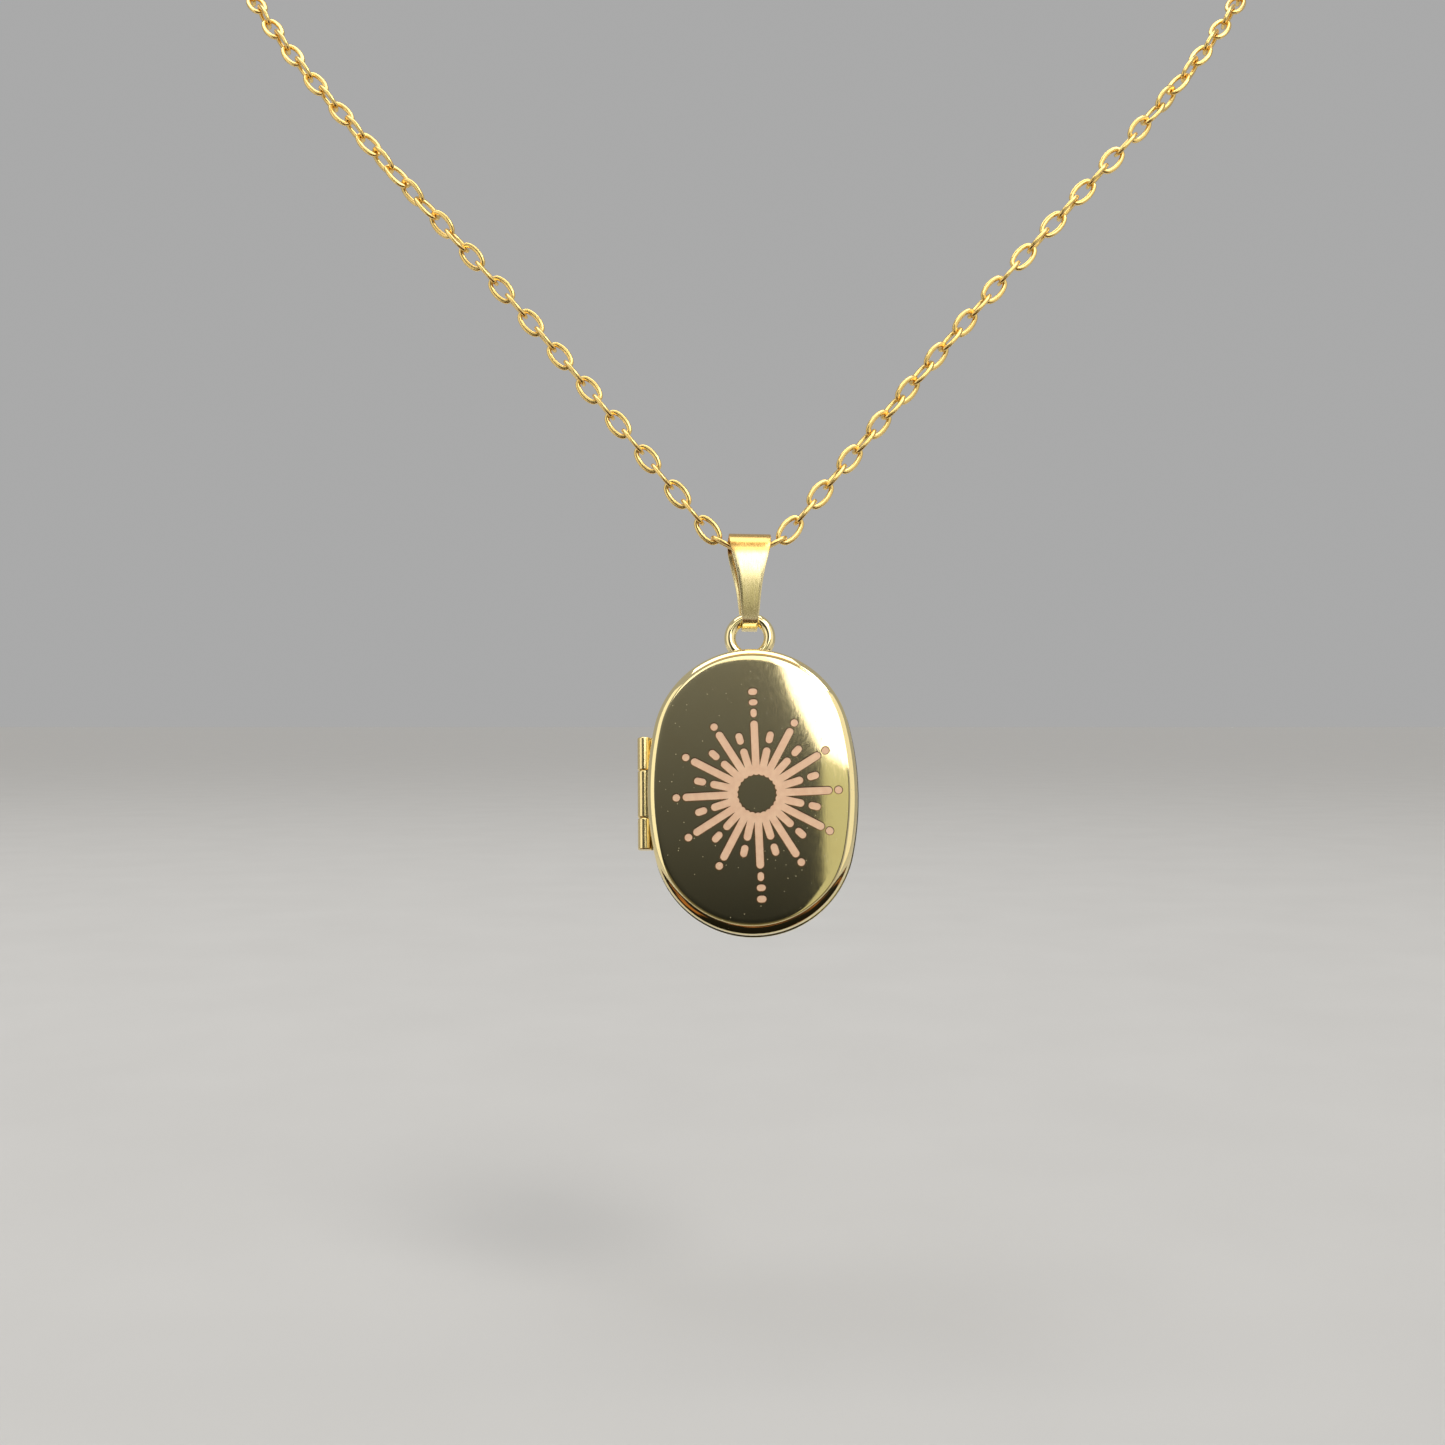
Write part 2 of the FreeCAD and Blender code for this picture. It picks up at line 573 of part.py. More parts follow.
def make_locket():
    """Both shells, the loop, the hinge, the catch and the two picture holders."""
    back = shell(1, BACK_RIM)
    cover = shell(-1, 0.0)
    export("back_shell", [back], LOCKET_AT)
    export("front_cover", [cover], LOCKET_AT)
    export("suspension_loop", [suspension_loop(back)], LOCKET_AT)
    export("hinge_knuckle_upper", [knuckle(UPPER_KNUCKLE, 1, back, HINGE_PIN_RADIUS)], LOCKET_AT)
    export("hinge_knuckle_lower", [knuckle(LOWER_KNUCKLE, 1, back, HINGE_PIN_RADIUS)], LOCKET_AT)
    middle_bore = HINGE_PIN_RADIUS + HINGE_PLAY
    export("hinge_knuckle_middle", [knuckle(MIDDLE_KNUCKLE, -1, cover, middle_bore)], LOCKET_AT)
    export("hinge_pin", [hinge_bar(HINGE_PIN_RADIUS, LOWER_KNUCKLE[0], UPPER_KNUCKLE[1])], LOCKET_AT)
    export("catch_tongue", [catch_tongue()], LOCKET_AT)
    for side, rim, name in ((1, BACK_RIM, "back"), (-1, 0.0, "front")):
        frame, window, picture = picture_holder(side, rim)
        export(name + "_picture_frame", [frame], LOCKET_AT)
        export(name + "_window", [window], LOCKET_AT)
        export(name + "_picture", [picture], LOCKET_AT)


os.makedirs("parts", exist_ok=True)
make_chain()
make_clasp()
export("bail", [bail()], BAIL_AT)
make_locket()
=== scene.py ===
import bpy
import bmesh
import json
import math
import numpy as np
from mathutils import Matrix, Vector


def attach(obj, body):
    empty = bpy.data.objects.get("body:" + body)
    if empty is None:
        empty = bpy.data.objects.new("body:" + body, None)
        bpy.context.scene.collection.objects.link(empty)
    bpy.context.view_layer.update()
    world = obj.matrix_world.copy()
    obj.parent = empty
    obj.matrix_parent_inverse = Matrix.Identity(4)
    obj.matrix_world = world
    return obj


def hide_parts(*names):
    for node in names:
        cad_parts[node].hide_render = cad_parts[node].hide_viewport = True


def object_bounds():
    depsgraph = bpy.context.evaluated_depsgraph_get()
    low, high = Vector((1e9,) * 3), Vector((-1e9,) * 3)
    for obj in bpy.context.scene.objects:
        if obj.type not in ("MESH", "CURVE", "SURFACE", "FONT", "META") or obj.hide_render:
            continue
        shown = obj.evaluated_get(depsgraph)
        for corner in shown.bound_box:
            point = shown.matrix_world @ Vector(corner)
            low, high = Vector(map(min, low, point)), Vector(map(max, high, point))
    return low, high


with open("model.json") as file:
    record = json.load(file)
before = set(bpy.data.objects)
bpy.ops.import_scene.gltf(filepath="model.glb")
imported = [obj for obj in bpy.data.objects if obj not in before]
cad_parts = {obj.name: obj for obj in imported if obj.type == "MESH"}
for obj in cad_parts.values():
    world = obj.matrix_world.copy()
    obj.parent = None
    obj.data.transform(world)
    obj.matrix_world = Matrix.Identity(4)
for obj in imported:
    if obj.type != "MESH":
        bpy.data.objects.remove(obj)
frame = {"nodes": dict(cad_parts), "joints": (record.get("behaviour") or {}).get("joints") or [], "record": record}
cad_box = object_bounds()

# ---------------------------------------------------------------------------------
# The chain. Each link is flat gold-plated brass wire bent to an oval and soldered
# shut, and hangs in its neighbours a quarter turn round. A smooth link is laid on
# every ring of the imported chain, so the links stay where the design has them.

MM = 0.001
LINK_LENGTH = 3.84 * MM
LINK_WIDTH = 2.50 * MM
LINK_END = 1.06 * MM
WIRE_WIDTH = 0.60 * MM
WIRE_THICKNESS = 0.46 * MM
WIRE_CORNER = 0.24
CAGE_SCALE = 0.99


def plated(name, colour, deep_colour, roughness, spread, scratch_depth, grain_depth):
    """Plated metal: colour drifting to a deeper tone, fine scratches, and a faint uneven polish."""
    material = bpy.data.materials.new(name)
    material.use_nodes = True
    nodes = material.node_tree.nodes
    links = material.node_tree.links
    shader = nodes["Principled BSDF"]
    shader.inputs["Metallic"].default_value = 1.0
    place = nodes.new("ShaderNodeTexCoord")

    drift = nodes.new("ShaderNodeTexNoise")
    drift.inputs["Scale"].default_value = 420.0
    drift.inputs["Detail"].default_value = 3.0
    tone = nodes.new("ShaderNodeMix")
    tone.data_type = "RGBA"
    tone.inputs["A"].default_value = (*deep_colour, 1.0)
    tone.inputs["B"].default_value = (*colour, 1.0)
    links.new(place.outputs["Object"], drift.inputs["Vector"])
    links.new(drift.outputs["Fac"], tone.inputs["Factor"])
    links.new(tone.outputs["Result"], shader.inputs["Base Color"])

    along = nodes.new("ShaderNodeMapping")
    along.inputs["Rotation"].default_value = (0.3, 0.5, 0.2)
    along.inputs["Scale"].default_value = (9000.0, 7000.0, 500.0)
    scratch = nodes.new("ShaderNodeTexNoise")
    scratch.inputs["Scale"].default_value = 1.0
    scratch.inputs["Detail"].default_value = 2.0
    links.new(place.outputs["Object"], along.inputs["Vector"])
    links.new(along.outputs["Vector"], scratch.inputs["Vector"])

    gloss = nodes.new("ShaderNodeMapRange")
    gloss.inputs["From Min"].default_value = 0.35
    gloss.inputs["From Max"].default_value = 0.75
    gloss.inputs["To Min"].default_value = roughness
    gloss.inputs["To Max"].default_value = roughness + spread
    links.new(scratch.outputs["Fac"], gloss.inputs["Value"])
    links.new(gloss.outputs["Result"], shader.inputs["Roughness"])

    grain = nodes.new("ShaderNodeTexNoise")
    grain.inputs["Scale"].default_value = 2600.0
    grain.inputs["Detail"].default_value = 2.0
    links.new(place.outputs["Object"], grain.inputs["Vector"])
    marks = nodes.new("ShaderNodeBump")
    marks.inputs["Strength"].default_value = 0.25
    marks.inputs["Distance"].default_value = scratch_depth
    uneven = nodes.new("ShaderNodeBump")
    uneven.inputs["Strength"].default_value = 0.25
    uneven.inputs["Distance"].default_value = grain_depth
    links.new(scratch.outputs["Fac"], marks.inputs["Height"])
    links.new(grain.outputs["Fac"], uneven.inputs["Height"])
    links.new(marks.outputs["Normal"], uneven.inputs["Normal"])
    links.new(uneven.outputs["Normal"], shader.inputs["Normal"])
    return material


def link_mesh():
    """One link: a flat wire section with its corners off, carried round the oval's four arcs."""
    half_long = (LINK_LENGTH - WIRE_WIDTH) / 2
    half_short = (LINK_WIDTH - WIRE_WIDTH) / 2
    end = LINK_END - WIRE_WIDTH / 2
    centre_out = half_long - end
    side = (centre_out ** 2 + half_short ** 2 - end ** 2) / (2 * (half_short - end))
    lean = math.atan2(centre_out, side - half_short)
    cage = bmesh.new()
    bmesh.ops.create_grid(cage, x_segments=1, y_segments=1, size=0.5)
    bmesh.ops.bevel(cage, geom=cage.verts[:], offset=WIRE_CORNER, segments=1, profile=0.5,
                    affect="VERTICES", material=-1)
    bmesh.ops.delete(cage, geom=cage.faces[:], context="FACES_ONLY")
    section = cage.verts[:]
    bmesh.ops.scale(cage, verts=section, vec=(WIRE_THICKNESS * CAGE_SCALE, WIRE_WIDTH * CAGE_SCALE, 1))
    bmesh.ops.rotate(cage, verts=section, matrix=Matrix.Rotation(math.pi / 2, 3, "Y"))
    bmesh.ops.translate(cage, verts=section, vec=(0, half_short, 0))
    turns = [
        ((0, half_short - side, 0), lean, 1),
        ((centre_out, 0, 0), math.pi - 2 * lean, 4),
        ((0, side - half_short, 0), 2 * lean, 2),
        ((-centre_out, 0, 0), math.pi - 2 * lean, 4),
        ((0, half_short - side, 0), lean, 1),
    ]
    last = list(cage.verts) + list(cage.edges)
    for centre, angle, steps in turns:
        last = bmesh.ops.spin(cage, geom=last, cent=centre, axis=(0, 0, -1),
                              angle=angle, steps=steps)["geom_last"]
    bmesh.ops.remove_doubles(cage, verts=cage.verts, dist=1e-6)
    bmesh.ops.recalc_face_normals(cage, faces=cage.faces)
    mesh = bpy.data.meshes.new("link")
    cage.to_mesh(mesh)
    cage.free()
    return mesh


def rings_in(node):
    """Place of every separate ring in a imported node: its middle, its length and its flat side."""
    rings = bmesh.new()
    rings.from_mesh(frame["nodes"][node].data)
    bmesh.ops.remove_doubles(rings, verts=rings.verts, dist=1e-7)
    places = []
    seen = set()
    for start in rings.verts:
        if start in seen:
            continue
        seen.add(start)
        ring = [start]
        for vertex in ring:
            for edge in vertex.link_edges:
                other = edge.other_vert(vertex)
                if other not in seen:
                    seen.add(other)
                    ring.append(other)
        points = np.array([vertex.co for vertex in ring])
        middle = (points.min(0) + points.max(0)) / 2
        axes = np.linalg.eigh(np.cov((points - middle).T))[1]
        length = Vector(axes[:, 2])
        width = Vector(axes[:, 1])
        place = Matrix((length, width, length.cross(width))).transposed().to_4x4()
        place.translation = Vector(middle)
        places.append(place)
    rings.free()
    return places


def as_piece(name, mesh, materials, body):
    """Object for a finished mesh, in its materials, riding on its body."""
    piece = bpy.data.objects.new(name, mesh)
    bpy.context.scene.collection.objects.link(piece)
    for material in materials:
        mesh.materials.append(material)
    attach(piece, body)
    return piece


def rounded(piece, levels):
    """Subdivision that rounds a piece's cage."""
    modifier = piece.modifiers.new("rounded", "SUBSURF")
    modifier.levels = levels
    modifier.render_levels = levels


chain_gold = plated("chain_gold", (1.0, 0.76, 0.32), (0.97, 0.66, 0.21), 0.20, 0.10,
                    0.0000006, 0.0000008)
one_link = link_mesh()
CHAIN = {
    "left_front_chain": "front_drape",
    "right_front_chain": "front_drape",
    "bail_link": "front_drape",
    "left_rear_chain": "rear_chain",
    "right_rear_chain": "rear_chain",
}
for node, body in CHAIN.items():
    links_here = bmesh.new()
    for place in rings_in(node):
        laid = one_link.copy()
        laid.transform(place)
        links_here.from_mesh(laid)
        bpy.data.meshes.remove(laid)
    for face in links_here.faces:
        face.smooth = True
    mesh = bpy.data.meshes.new(node + "_links")
    links_here.to_mesh(mesh)
    links_here.free()
    strand = as_piece(node + "_links", mesh, [chain_gold], body)
    rounded(strand, 1)
    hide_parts(node)

# ---------------------------------------------------------------------------------
# The claw clasp at the back of the neck: a cast body with a sprung lever on a
# riveted pin, a ring at its tail and the end ring that it hooks on. Cast and
# polished, then plated with the chain.


def finish_node(node, material):
    """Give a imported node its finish."""
    for place in frame["nodes"][node].material_slots:
        place.material = material


clasp_gold = plated("clasp_gold", (1.0, 0.72, 0.25), (0.96, 0.60, 0.15), 0.17, 0.10,
                    0.000003, 0.000005)
spring_steel = plated("spring_steel", (0.62, 0.62, 0.63), (0.5, 0.5, 0.52), 0.22, 0.1,
                      0.000004, 0.000004)
for node in ("clasp_body", "clasp_trigger", "clasp_pin", "clasp_ring", "end_ring"):
    finish_node(node, clasp_gold)
finish_node("clasp_spring", spring_steel)

# ---------------------------------------------------------------------------------
# The bail: a tapered strip of brass sheet, folded over the chain and brought back
# to itself under the locket's loop. Its face is satin from a brushing across the
# strip, and its edges are broken with a fine file.

joints = {joint["name"]: joint for joint in frame["joints"]}
BAIL_THICKNESS = 0.35 * MM
FOLD_RADIUS = 1.90 * MM
FOLD_HEIGHT = -0.58 * MM
LEAF_RADIUS = 22.0 * MM
EYE_RADIUS = 1.06 * MM
EYE_HEIGHT = -7.45 * MM
BAIL_HEIGHTS = [1.80, -0.95, -3.30, -5.60, -8.00]
BAIL_HALF_WIDTHS = [2.10, 1.93, 1.38, 1.06, 0.80]
STRIP_COLUMNS = 7
BROKEN_EDGE = 0.06 * MM
# Heights below the fold's top over which the painted reflection's amber tone comes in.
PAINTED_FOLD_REFLECTION_START = 0.7 * MM
PAINTED_FOLD_REFLECTION_END = 0.2 * MM


def standing_frame(at, right, up):
    """Matrix from a piece's own frame, in metres, to where it hangs."""
    deep = up.cross(right)
    place = Matrix((right, deep, up)).transposed().to_4x4()
    place.translation = at
    return place


def bail_half_width(height):
    """Half the strip's width at a height, in metres."""
    curve = np.polyfit(BAIL_HEIGHTS, BAIL_HALF_WIDTHS, 4)
    return float(np.polyval(curve, max(height / MM, BAIL_HEIGHTS[-1]))) * MM


def bail_mesh():
    """Closed strip round the fold, down a slightly bowed leaf, round the eye and back up."""
    fold = Vector((0, 0, FOLD_HEIGHT))
    eye = Vector((0, 0, EYE_HEIGHT))
    from_fold = LEAF_RADIUS - FOLD_RADIUS
    from_eye = LEAF_RADIUS - EYE_RADIUS
    bow_height = (fold.z + eye.z) / 2 - (from_fold ** 2 - from_eye ** 2) / (2 * (fold.z - eye.z))
    bow = Vector((0, math.sqrt(from_fold ** 2 - (bow_height - fold.z) ** 2), bow_height))
    upper = math.asin((fold.z - bow.z) / from_fold)
    lower = math.asin((bow.z - eye.z) / from_eye)
    strip = bmesh.new()
    start = eye + Vector((0, -math.cos(lower), -math.sin(lower))) * EYE_RADIUS
    across = [strip.verts.new(start + Vector((step / (STRIP_COLUMNS - 1) * 2 - 1, 0, 0)))
              for step in range(STRIP_COLUMNS)]
    last = across + [strip.edges.new(pair) for pair in zip(across, across[1:])]
    turns = [
        (bow, upper + lower, 24),
        (fold, math.pi - 2 * upper, 24),
        (Vector((0, -bow.y, bow.z)), upper + lower, 24),
        (eye, math.pi - 2 * lower, 16),
    ]
    for centre, angle, steps in turns:
        last = bmesh.ops.spin(strip, geom=last, cent=centre, axis=(-1, 0, 0), angle=angle,
                              steps=steps)["geom_last"]
    bmesh.ops.remove_doubles(strip, verts=strip.verts, dist=2e-6)
    for vertex in strip.verts:
        vertex.co.x *= bail_half_width(vertex.co.z)
    bmesh.ops.recalc_face_normals(strip, faces=strip.faces)
    for face in strip.faces:
        face.smooth = True
    mesh = bpy.data.meshes.new("bail")
    strip.to_mesh(mesh)
    strip.free()
    return mesh


def bail_finish():
    """Satin gold with fine brushed lines across the strip, and a painted reflection: a warmer amber tone painted
    into the colour over the fold.
    """
    material = plated("bail_gold", (1.0, 0.88, 0.52), (0.98, 0.82, 0.44), 0.20, 0.14,
                      0.000002, 0.000002)
    nodes = material.node_tree.nodes
    links = material.node_tree.links
    shader = nodes["Principled BSDF"]
    satin = shader.inputs["Base Color"].links[0].from_socket
    # Painted reflection: near the fold's top the base colour turns amber, standing in for a warm reflection on the
    # fold.
    height = nodes.new("ShaderNodeSeparateXYZ")
    fold = nodes.new("ShaderNodeMapRange")
    fold.inputs["From Min"].default_value = bail_at.translation.z - PAINTED_FOLD_REFLECTION_START
    fold.inputs["From Max"].default_value = bail_at.translation.z - PAINTED_FOLD_REFLECTION_END
    painted_fold_reflection = nodes.new("ShaderNodeMix")
    painted_fold_reflection.data_type = "RGBA"
    painted_fold_reflection.inputs["B"].default_value = (0.80, 0.52, 0.17, 1.0)
    links.new(height.outputs["Z"], fold.inputs["Value"])
    links.new(fold.outputs["Result"], painted_fold_reflection.inputs["Factor"])
    links.new(satin, painted_fold_reflection.inputs["A"])
    links.new(painted_fold_reflection.outputs["Result"], shader.inputs["Base Color"])
    brushed = nodes.new("ShaderNodeMapping")
    brushed.inputs["Scale"].default_value = (350.0, 9000.0, 12000.0)
    lines = nodes.new("ShaderNodeTexNoise")
    lines.inputs["Scale"].default_value = 1.0
    lines.inputs["Detail"].default_value = 3.0
    groove = nodes.new("ShaderNodeBump")
    groove.inputs["Strength"].default_value = 0.3
    groove.inputs["Distance"].default_value = 0.0000025
    place = next(node for node in nodes if node.bl_idname == "ShaderNodeTexCoord")
    links.new(place.outputs["Object"], height.inputs["Vector"])
    links.new(place.outputs["Object"], brushed.inputs["Vector"])
    links.new(brushed.outputs["Vector"], lines.inputs["Vector"])
    links.new(lines.outputs["Fac"], groove.inputs["Height"])
    old = shader.inputs["Normal"].links[0].from_socket
    links.new(old, groove.inputs["Normal"])
    links.new(groove.outputs["Normal"], shader.inputs["Normal"])
    return material


bail_pivot = Vector(joints["bail_swing"]["pos_m"])
loop_pivot = Vector(joints["locket_swing"]["pos_m"])
bail_right = -Vector(joints["bail_swing"]["axis"])
bail_up = (bail_pivot - loop_pivot).normalized()
bail_at = standing_frame(bail_pivot - bail_up * FOLD_HEIGHT, bail_right, bail_up)
bail_body = bail_mesh()
bail_body.transform(bail_at)
bail = as_piece("bail_strip", bail_body, [bail_finish()], "bail")
sheet_metal = bail.modifiers.new("sheet", "SOLIDIFY")
sheet_metal.thickness = BAIL_THICKNESS
sheet_metal.offset = 1.0
broken_edge = bail.modifiers.new("broken_edge", "BEVEL")
broken_edge.width = BROKEN_EDGE
broken_edge.segments = 2
broken_edge.limit_method = "ANGLE"
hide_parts("bail")

# ---------------------------------------------------------------------------------
# The locket's back half: a pressed shell with the wire loop, two hinge knuckles and
# the catch tongue soldered on, and the pin through the hinge. Pressed from brass
# sheet, polished on a mop and plated.

def dusty(material):
    """Sparse pale specks of dust on a polished face."""
    nodes = material.node_tree.nodes
    links = material.node_tree.links
    shader = nodes["Principled BSDF"]
    place = next(node for node in nodes if node.bl_idname == "ShaderNodeTexCoord")
    cells = nodes.new("ShaderNodeTexVoronoi")
    cells.inputs["Scale"].default_value = 1500.0
    speck = nodes.new("ShaderNodeMapRange")
    speck.inputs["From Min"].default_value = 0.055
    speck.inputs["From Max"].default_value = 0.085
    speck.inputs["To Min"].default_value = 0.35
    speck.inputs["To Max"].default_value = 1.0
    links.new(place.outputs["Object"], cells.inputs["Vector"])
    links.new(cells.outputs["Distance"], speck.inputs["Value"])
    links.new(speck.outputs["Result"], shader.inputs["Metallic"])
    return material


locket_gold = dusty(plated("locket_gold", (0.97, 0.84, 0.48), (0.96, 0.80, 0.43), 0.045, 0.04,
                           0.0000008, 0.0000004))
hinge_gold = plated("hinge_gold", (0.98, 0.82, 0.44), (0.96, 0.76, 0.36), 0.14, 0.10,
                    0.000002, 0.000002)
for node in ("back_shell", "suspension_loop", "catch_tongue"):
    finish_node(node, locket_gold)
for node in ("hinge_knuckle_upper", "hinge_knuckle_middle", "hinge_knuckle_lower", "hinge_pin"):
    finish_node(node, hinge_gold)

# ---------------------------------------------------------------------------------
# The front cover: pressed shell with a low crown, rounded shoulders and a polished
# face, into which the sunburst is etched. The etched floor is left matt and rosy,
# and its sloping sides are painted near-black, a painted shade standing in for the
# fine dark outline they show in the light.

HALF_HEIGHT = 14.45 * MM
HALF_WIDTH = 10.50 * MM
END_RADIUS = 10.00 * MM
SEAM = 0.03 * MM
FACE = 2.50 * MM
WALL = 0.55 * MM
POCKET_DEPTH = 1.97 * MM
SHOULDER = 1.05 * MM
SHOULDER_START = 1.40 * MM
CROWN = 0.27 * MM
CORNER_FALL = 1.30
SHOULDER_STEPS = 12
FACE_RINGS = 26
ETCH_DEPTH = 0.06 * MM
ETCH_SLOPE = 0.08 * MM
ETCH_OVERSHOOT = 0.01 * MM
LID_CLEARANCE = 0.5 * MM
HINGE_X = -10.95 * MM
GROOVE_RADIUS = 0.75 * MM
GROOVE_BOTTOM = -5.70 * MM
GROOVE_TOP = 5.90 * MM

RAY_COUNT = 24
RAY_DEGREES = 15
RAY_HALF_WIDTH = 0.45 * MM
RAY_START = 1.80 * MM
LONG_RAY = 7.50 * MM
SHORT_RAY = 4.85 * MM
SHORT_RAY_DOT = (5.82 * MM, 1.38 * MM, 0.86 * MM)
LONG_RAY_DOT = (8.05 * MM, 0.92 * MM, 0.90 * MM)
UPRIGHT_DOTS = [
    (8.20 * MM, 1.04 * MM, 0.78 * MM),
    (9.30 * MM, 0.78 * MM, 1.04 * MM),
    (10.40 * MM, 0.82 * MM, 1.08 * MM),
]
SUNBURST_TURN = math.radians(1.2)
SUNBURST_MIDDLE = Vector((0.55, 0, -0.62)) * MM


def dome(x, z):
    """Depth of the cover's polished face at a place on it."""
    fall = (x / (HALF_WIDTH - SHOULDER)) ** 2 + (z / (HALF_HEIGHT - SHOULDER)) ** 2
    return -FACE + CROWN * fall / CORNER_FALL


def oval_loop(cage, depth):
    """Edges of the locket's four-arc outline at a depth."""
    centre_out = HALF_HEIGHT - END_RADIUS
    side = (centre_out ** 2 + HALF_WIDTH ** 2 - END_RADIUS ** 2) / (2 * (HALF_WIDTH - END_RADIUS))
    lean = math.atan2(centre_out, side - HALF_WIDTH)
    turns = [
        ((HALF_WIDTH - side, depth, 0), lean, 8),
        ((0, depth, centre_out), math.pi - 2 * lean, 56),
        ((side - HALF_WIDTH, depth, 0), 2 * lean, 16),
        ((0, depth, -centre_out), math.pi - 2 * lean, 56),
        ((HALF_WIDTH - side, depth, 0), lean, 8),
    ]
    last = [cage.verts.new((HALF_WIDTH, depth, 0))]
    for centre, angle, steps in turns:
        last = bmesh.ops.spin(cage, geom=last, cent=centre, axis=(0, -1, 0), angle=angle,
                              steps=steps)["geom_last"]
    bmesh.ops.remove_doubles(cage, verts=cage.verts, dist=1e-6)
    return list(cage.edges)


def inset(cage, face, thickness, depth):
    """Inset one face and sink or raise it."""
    bmesh.ops.inset_region(cage, faces=[face], thickness=thickness, depth=depth,
                           use_even_offset=True, use_boundary=True)


def cover_mesh():
    """Plain cover: wall, rounded shoulder, crowned face, and the pocket behind it."""
    cage = bmesh.new()
    rim = oval_loop(cage, -SEAM)
    face = bmesh.ops.contextual_create(cage, geom=rim)["faces"][0]
    if face.normal.y > 0:
        face.normal_flip()
    inset(cage, face, 0.0, SHOULDER_START - SEAM)
    for step in range(1, SHOULDER_STEPS + 1):
        before = 1 - math.cos((step - 1) / SHOULDER_STEPS * math.pi / 2)
        after = 1 - math.cos(step / SHOULDER_STEPS * math.pi / 2)
        inset(cage, face, SHOULDER * (after - before), 0.0)
        rise = math.sin(step / SHOULDER_STEPS * math.pi / 2)
        for vertex in face.verts:
            top = dome(vertex.co.x, vertex.co.z)
            vertex.co.y = -SHOULDER_START + (top + SHOULDER_START) * rise
    for ring in range(1, FACE_RINGS):
        inset(cage, face, 0.0, 0.0)
        shrink = (FACE_RINGS - ring) / (FACE_RINGS - ring + 1)
        bmesh.ops.scale(cage, verts=face.verts, vec=(shrink, 1, shrink))
        for vertex in face.verts:
            vertex.co.y = dome(vertex.co.x, vertex.co.z)
    bmesh.ops.poke(cage, faces=[face])
    open_rim = [edge for edge in cage.edges if edge.is_boundary]
    pocket = bmesh.ops.contextual_create(cage, geom=open_rim)["faces"][0]
    inset(cage, pocket, WALL, 0.0)
    inset(cage, pocket, 0.0, -POCKET_DEPTH)
    bmesh.ops.recalc_face_normals(cage, faces=cage.faces)
    mesh = bpy.data.meshes.new("cover")
    cage.to_mesh(mesh)
    cage.free()
    return mesh


def spun(cage, start, centre, angle, steps):
    """A vertex carried round a centre in the plane of the face, leaving edges."""
    first = cage.verts.new(start)
    bmesh.ops.spin(cage, geom=[first], cent=centre, axis=(0, -1, 0), angle=angle, steps=steps)
    return first


def ray_edge(cage, reach, angle):
    """Outline of one ray, from valley to valley, and its share of the scalloped centre."""
    ray = bmesh.new()
    half = RAY_HALF_WIDTH
    valley = half / math.tan(math.radians(RAY_DEGREES / 2))
    tip = reach - half
    spun(ray, (half, 0, tip), (0, 0, tip), math.pi, 10)
    ray.verts.ensure_lookup_table()
    right, left = [vertex for vertex in ray.verts if len(vertex.link_edges) == 1]
    for vertex in (right, left):
        ray.edges.new((vertex, ray.verts.new((vertex.co.x, 0, valley))))
    middle = RAY_START + half
    share = math.radians(RAY_DEGREES / 2)
    scallop = math.asin(middle * math.sin(share) / half) - share
    spun(ray, (-half * math.sin(scallop), 0, middle - half * math.cos(scallop)), (0, 0, middle),
         2 * scallop, 4)
    bmesh.ops.rotate(ray, verts=ray.verts, matrix=Matrix.Rotation(angle, 3, "Y"))
    mesh = bpy.data.meshes.new("ray")
    ray.to_mesh(mesh)
    ray.free()
    cage.from_mesh(mesh)
    bpy.data.meshes.remove(mesh)


def pill(cage, radius, long, wide, angle):
    """Outline of a rounded dot, longer outwards or across, at a distance from the middle."""
    dot = bmesh.new()
    if long >= wide:
        half = wide / 2
        spread = (long - wide) / 2
        spun(dot, (half, 0, radius + spread), (0, 0, radius + spread), math.pi, 8)
        spun(dot, (-half, 0, radius - spread), (0, 0, radius - spread), math.pi, 8)
    else:
        half = long / 2
        spread = (wide - long) / 2
        spun(dot, (spread, 0, radius - half), (spread, 0, radius), math.pi, 8)
        spun(dot, (-spread, 0, radius + half), (-spread, 0, radius), math.pi, 8)
    bmesh.ops.remove_doubles(dot, verts=dot.verts, dist=1e-6)
    ends = [vertex for vertex in dot.verts if len(vertex.link_edges) == 1]
    for first in ends:
        if len(first.link_edges) == 1:
            others = [vertex for vertex in ends if vertex != first and len(vertex.link_edges) == 1]
            straight = [vertex for vertex in others
                        if min(abs(vertex.co.x - first.co.x), abs(vertex.co.z - first.co.z)) < 1e-7]
            nearest = min(straight, key=lambda vertex: (vertex.co - first.co).length)
            dot.edges.new((first, nearest))
    bmesh.ops.rotate(dot, verts=dot.verts, matrix=Matrix.Rotation(angle, 3, "Y"))
    mesh = bpy.data.meshes.new("pill")
    dot.to_mesh(mesh)
    dot.free()
    cage.from_mesh(mesh)
    bpy.data.meshes.remove(mesh)


